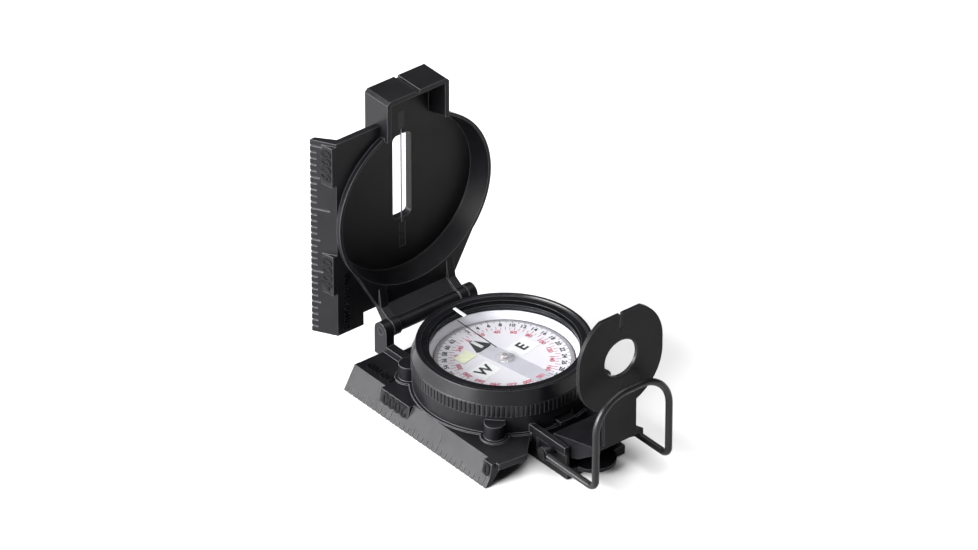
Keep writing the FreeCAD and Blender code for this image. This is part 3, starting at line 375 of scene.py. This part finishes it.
def dial_print():
    """Black mil scale outside, red degree scale inside, the pale panels, the grey band and two letters."""
    band = [rectangle(-BAND_HALF, BAND_HALF, 3.6 - SCALE_RADIUS, ARROW_BASE)]
    add_mesh("dial_band", *prisms(band, DIAL_LEVEL, INK), INK_GREY, "dial", "print_black")
    panels = [rectangle(-PANEL_FAR, -PANEL_NEAR, PANEL_LOW, PANEL_HIGH),
              rectangle(PANEL_NEAR, PANEL_FAR, PANEL_LOW, PANEL_HIGH)]
    add_mesh("dial_panels", *prisms(panels, DIAL_LEVEL, INK), INK_PALE, "dial", "dial_white")
    black = []
    for mil in range(0, 6400, 20):
        length = 1.5 if mil % 100 == 0 else 0.8
        angle = math.radians(mil * DEGREES_IN_MIL)
        black.append(tick(angle, SCALE_RADIUS - length, SCALE_RADIUS, TICK_WIDTH))
    red = []
    for degree in range(0, 360, 5):
        length = 1.5 if degree % 10 == 0 else 1.0
        red.append(tick(math.radians(degree), RED_RADIUS, RED_RADIUS + length, TICK_WIDTH))
    numbers, degrees = [], []
    for number in range(2, 64, 2):          # hundreds of mils
        angle = math.radians(number * 100 * DEGREES_IN_MIL)
        numbers.append(radial_text(str(number), angle, SCALE_RADIUS - 2.5, FIGURE_HEIGHT))
    for degree in range(0, 360, 20):
        degrees.append(radial_text(str(degree), math.radians(degree), SCALE_RADIUS - 5.9, FIGURE_HEIGHT))
    add_mesh("dial_mil_scale", *joined([prisms(black + rim_line(), DIAL_LEVEL, INK), *numbers]),
             LOOKS["print_black"], "dial", "print_black")
    add_mesh("dial_degree_scale", *joined([prisms(red, DIAL_LEVEL, INK), *degrees]),
             INK_RED, "dial", "print_black")
    cardinals = [dial_text("E", 7.4, 0.1, 0.0, CARDINAL_HEIGHT),
                 dial_text("W", -8.0, 0.1, 0.0, CARDINAL_HEIGHT)]
    add_mesh("dial_letters", *joined(cardinals), LOOKS["print_black"], "dial", "print_black")


def dial_text(text, x, y, turn, height):
    """A word flat on the card round a place, its top turned clockwise from north."""
    def place(right, up, out):
        across = x + right * math.cos(turn) + up * math.sin(turn)
        along = y - right * math.sin(turn) + up * math.cos(turn)
        return Vector((*on_dial(across, along), DIAL_LEVEL + INK * 0.4 + out))
    return letters(text, height, INK, place)


def radial_text(text, angle, radius, height):
    return dial_text(text, math.sin(angle) * radius, math.cos(angle) * radius, angle, height)


dial_print()

# ------------------------------------------------------------------ raised numerals on the ruler's pads
EMBOSS = 0.28                           # height of the raised lettering
SINK = 0.05                             # and how far it starts below the face
NUMERAL_HEIGHT = 3.5


def sunk(face):
    return lambda r, u, o: face(r, u, o - SINK)


def on_cover(point):
    """Where a point of the base ruler's section lies on the upright cover."""
    return Vector((point.x, COVER_BACK - point.z, 0))


def ruler_lettering():
    """Numerals on the two rulers' slopes and the scale's words beside them."""
    slope_length = math.hypot(RULER_CREST - RULER_EDGE, PLATE_LEVEL)
    share = (slope_length - LABEL_WIDTH) / slope_length
    foot = Vector((RULER_EDGE + (RULER_CREST - RULER_EDGE) * share, 0, PLATE_LEVEL * share))
    crest = Vector((RULER_CREST - 1.5, 0, PLATE_LEVEL))
    middle, down = (foot + crest) / 2, (foot - crest).normalized()
    base_words = []
    for word, along in (("2000", SECOND_THOUSAND), ("0", ZERO_LABEL)):
        face = plane(middle + Vector((0, along, 0)), Vector((0, 1, 0)), down)
        base_words.append(letters(word, NUMERAL_HEIGHT, EMBOSS, sunk(face)))
    plate = plane(Vector((RULER_CREST + 2.9, 24.6, PLATE_LEVEL)), Vector((0, 1, 0)), Vector((-1, 0, 0)))
    base_words.append(letters("1:50 000", 2.2, EMBOSS, sunk(plate)))
    add_mesh("base_numerals", *joined(base_words), RAISED_GLOSS, "base", "casting_black")
    cover_down = Vector((down.x, -down.z, 0))
    cover_words = []
    for word, along in (("4000", FOURTH_THOUSAND), ("6000", SIXTH_LABEL)):
        face = plane(on_cover(middle) + Vector((0, 0, along)), Vector((0, 0, 1)), cover_down)
        cover_words.append(letters(word, NUMERAL_HEIGHT, EMBOSS, sunk(face)))
    wing = plane(Vector((RULER_CREST + 3.2, WING_FACE, HINGE.z + 9.6)), Vector((0, 0, 1)), Vector((-1, 0, 0)))
    cover_words.append(letters("METERS 1:50 000", 1.75, EMBOSS, sunk(wing)))
    add_mesh("cover_numerals", *joined(cover_words), RAISED_GLOSS, "cover", "casting_black")


ruler_lettering()


# ------------------------------------------------------------------ stage, light and camera
def floor():
    reach, level = 6.0, -0.0002
    corners = [(-reach, -reach, level), (reach, -reach, level), (reach, reach, level), (-reach, reach, level)]
    mesh = bpy.data.meshes.new("floor")
    mesh.from_pydata(corners, [], [(0, 1, 2, 3)])
    material, shader = new_material("floor_paint")
    tree = material.node_tree
    tree.links.new(ramp(tree, noise(tree, 3.0), [(0.3, 0.50), (0.7, 0.52)]), shader.inputs["Base Color"])
    shader.inputs["Roughness"].default_value = 0.9
    mesh.materials.append(material)
    stage = bpy.data.objects.new("floor", mesh)
    bpy.context.scene.collection.objects.link(stage)


def area_light(name, place, target, size, power):
    data = bpy.data.lights.new(name, "AREA")
    data.shape = "RECTANGLE"
    data.size, data.size_y = size
    data.energy = power
    lamp = bpy.data.objects.new(name, data)
    bpy.context.scene.collection.objects.link(lamp)
    lamp.location = place
    lamp.rotation_mode = "QUATERNION"
    lamp.rotation_quaternion = (Vector(target) - Vector(place)).to_track_quat("-Z", "Y")


def world(strength):
    made = bpy.data.worlds.new("studio")
    made.use_nodes = True
    background = made.node_tree.nodes["Background"]
    background.inputs["Color"].default_value = (1.0, 1.0, 1.0, 1.0)
    background.inputs["Strength"].default_value = strength
    bpy.context.scene.world = made


def camera():
    """A long lens, so that parallel edges stay nearly parallel; the shifts centre the object as measured."""
    azimuth, elevation = math.radians(-39.09), math.radians(33.30)
    target, distance, shift_right, shift_up = Vector((0, 0, 12.9)), 2434.0, -4.19, 24.02
    right = Vector((math.cos(azimuth), math.sin(azimuth), 0))
    back = Vector((math.sin(azimuth) * math.cos(elevation), -math.cos(azimuth) * math.cos(elevation),
                   math.sin(elevation)))
    up = back.cross(right)
    data = bpy.data.cameras.new("camera")
    data.sensor_width = 36.0
    data.lens = 331.3
    data.clip_start, data.clip_end = 0.1, 30.0
    eye = bpy.data.objects.new("camera", data)
    bpy.context.scene.collection.objects.link(eye)
    place = (target + back * distance + right * shift_right + up * shift_up) * MM
    eye.matrix_world = Matrix.Translation(place) @ Matrix((right, up, back)).transposed().to_4x4()
    bpy.context.scene.camera = eye


floor()
world(0.035)
area_light("key", (-1.2, 0.1, 0.5), (0, 0, 0.03), (0.9, 0.6), 62.0)
area_light("left_rear", (-0.9, 0.75, 0.3), (0, 0, 0.03), (0.7, 0.5), 16.0)
area_light("left_low", (-0.55, 0.1, 0.12), (0, 0, 0.02), (0.5, 0.2), 5.0)
area_light("top", (0.0, 0.1, 1.4), (0, 0, 0.02), (1.6, 1.6), 44.0)
camera()
bpy.context.scene.view_settings.view_transform = "Standard"
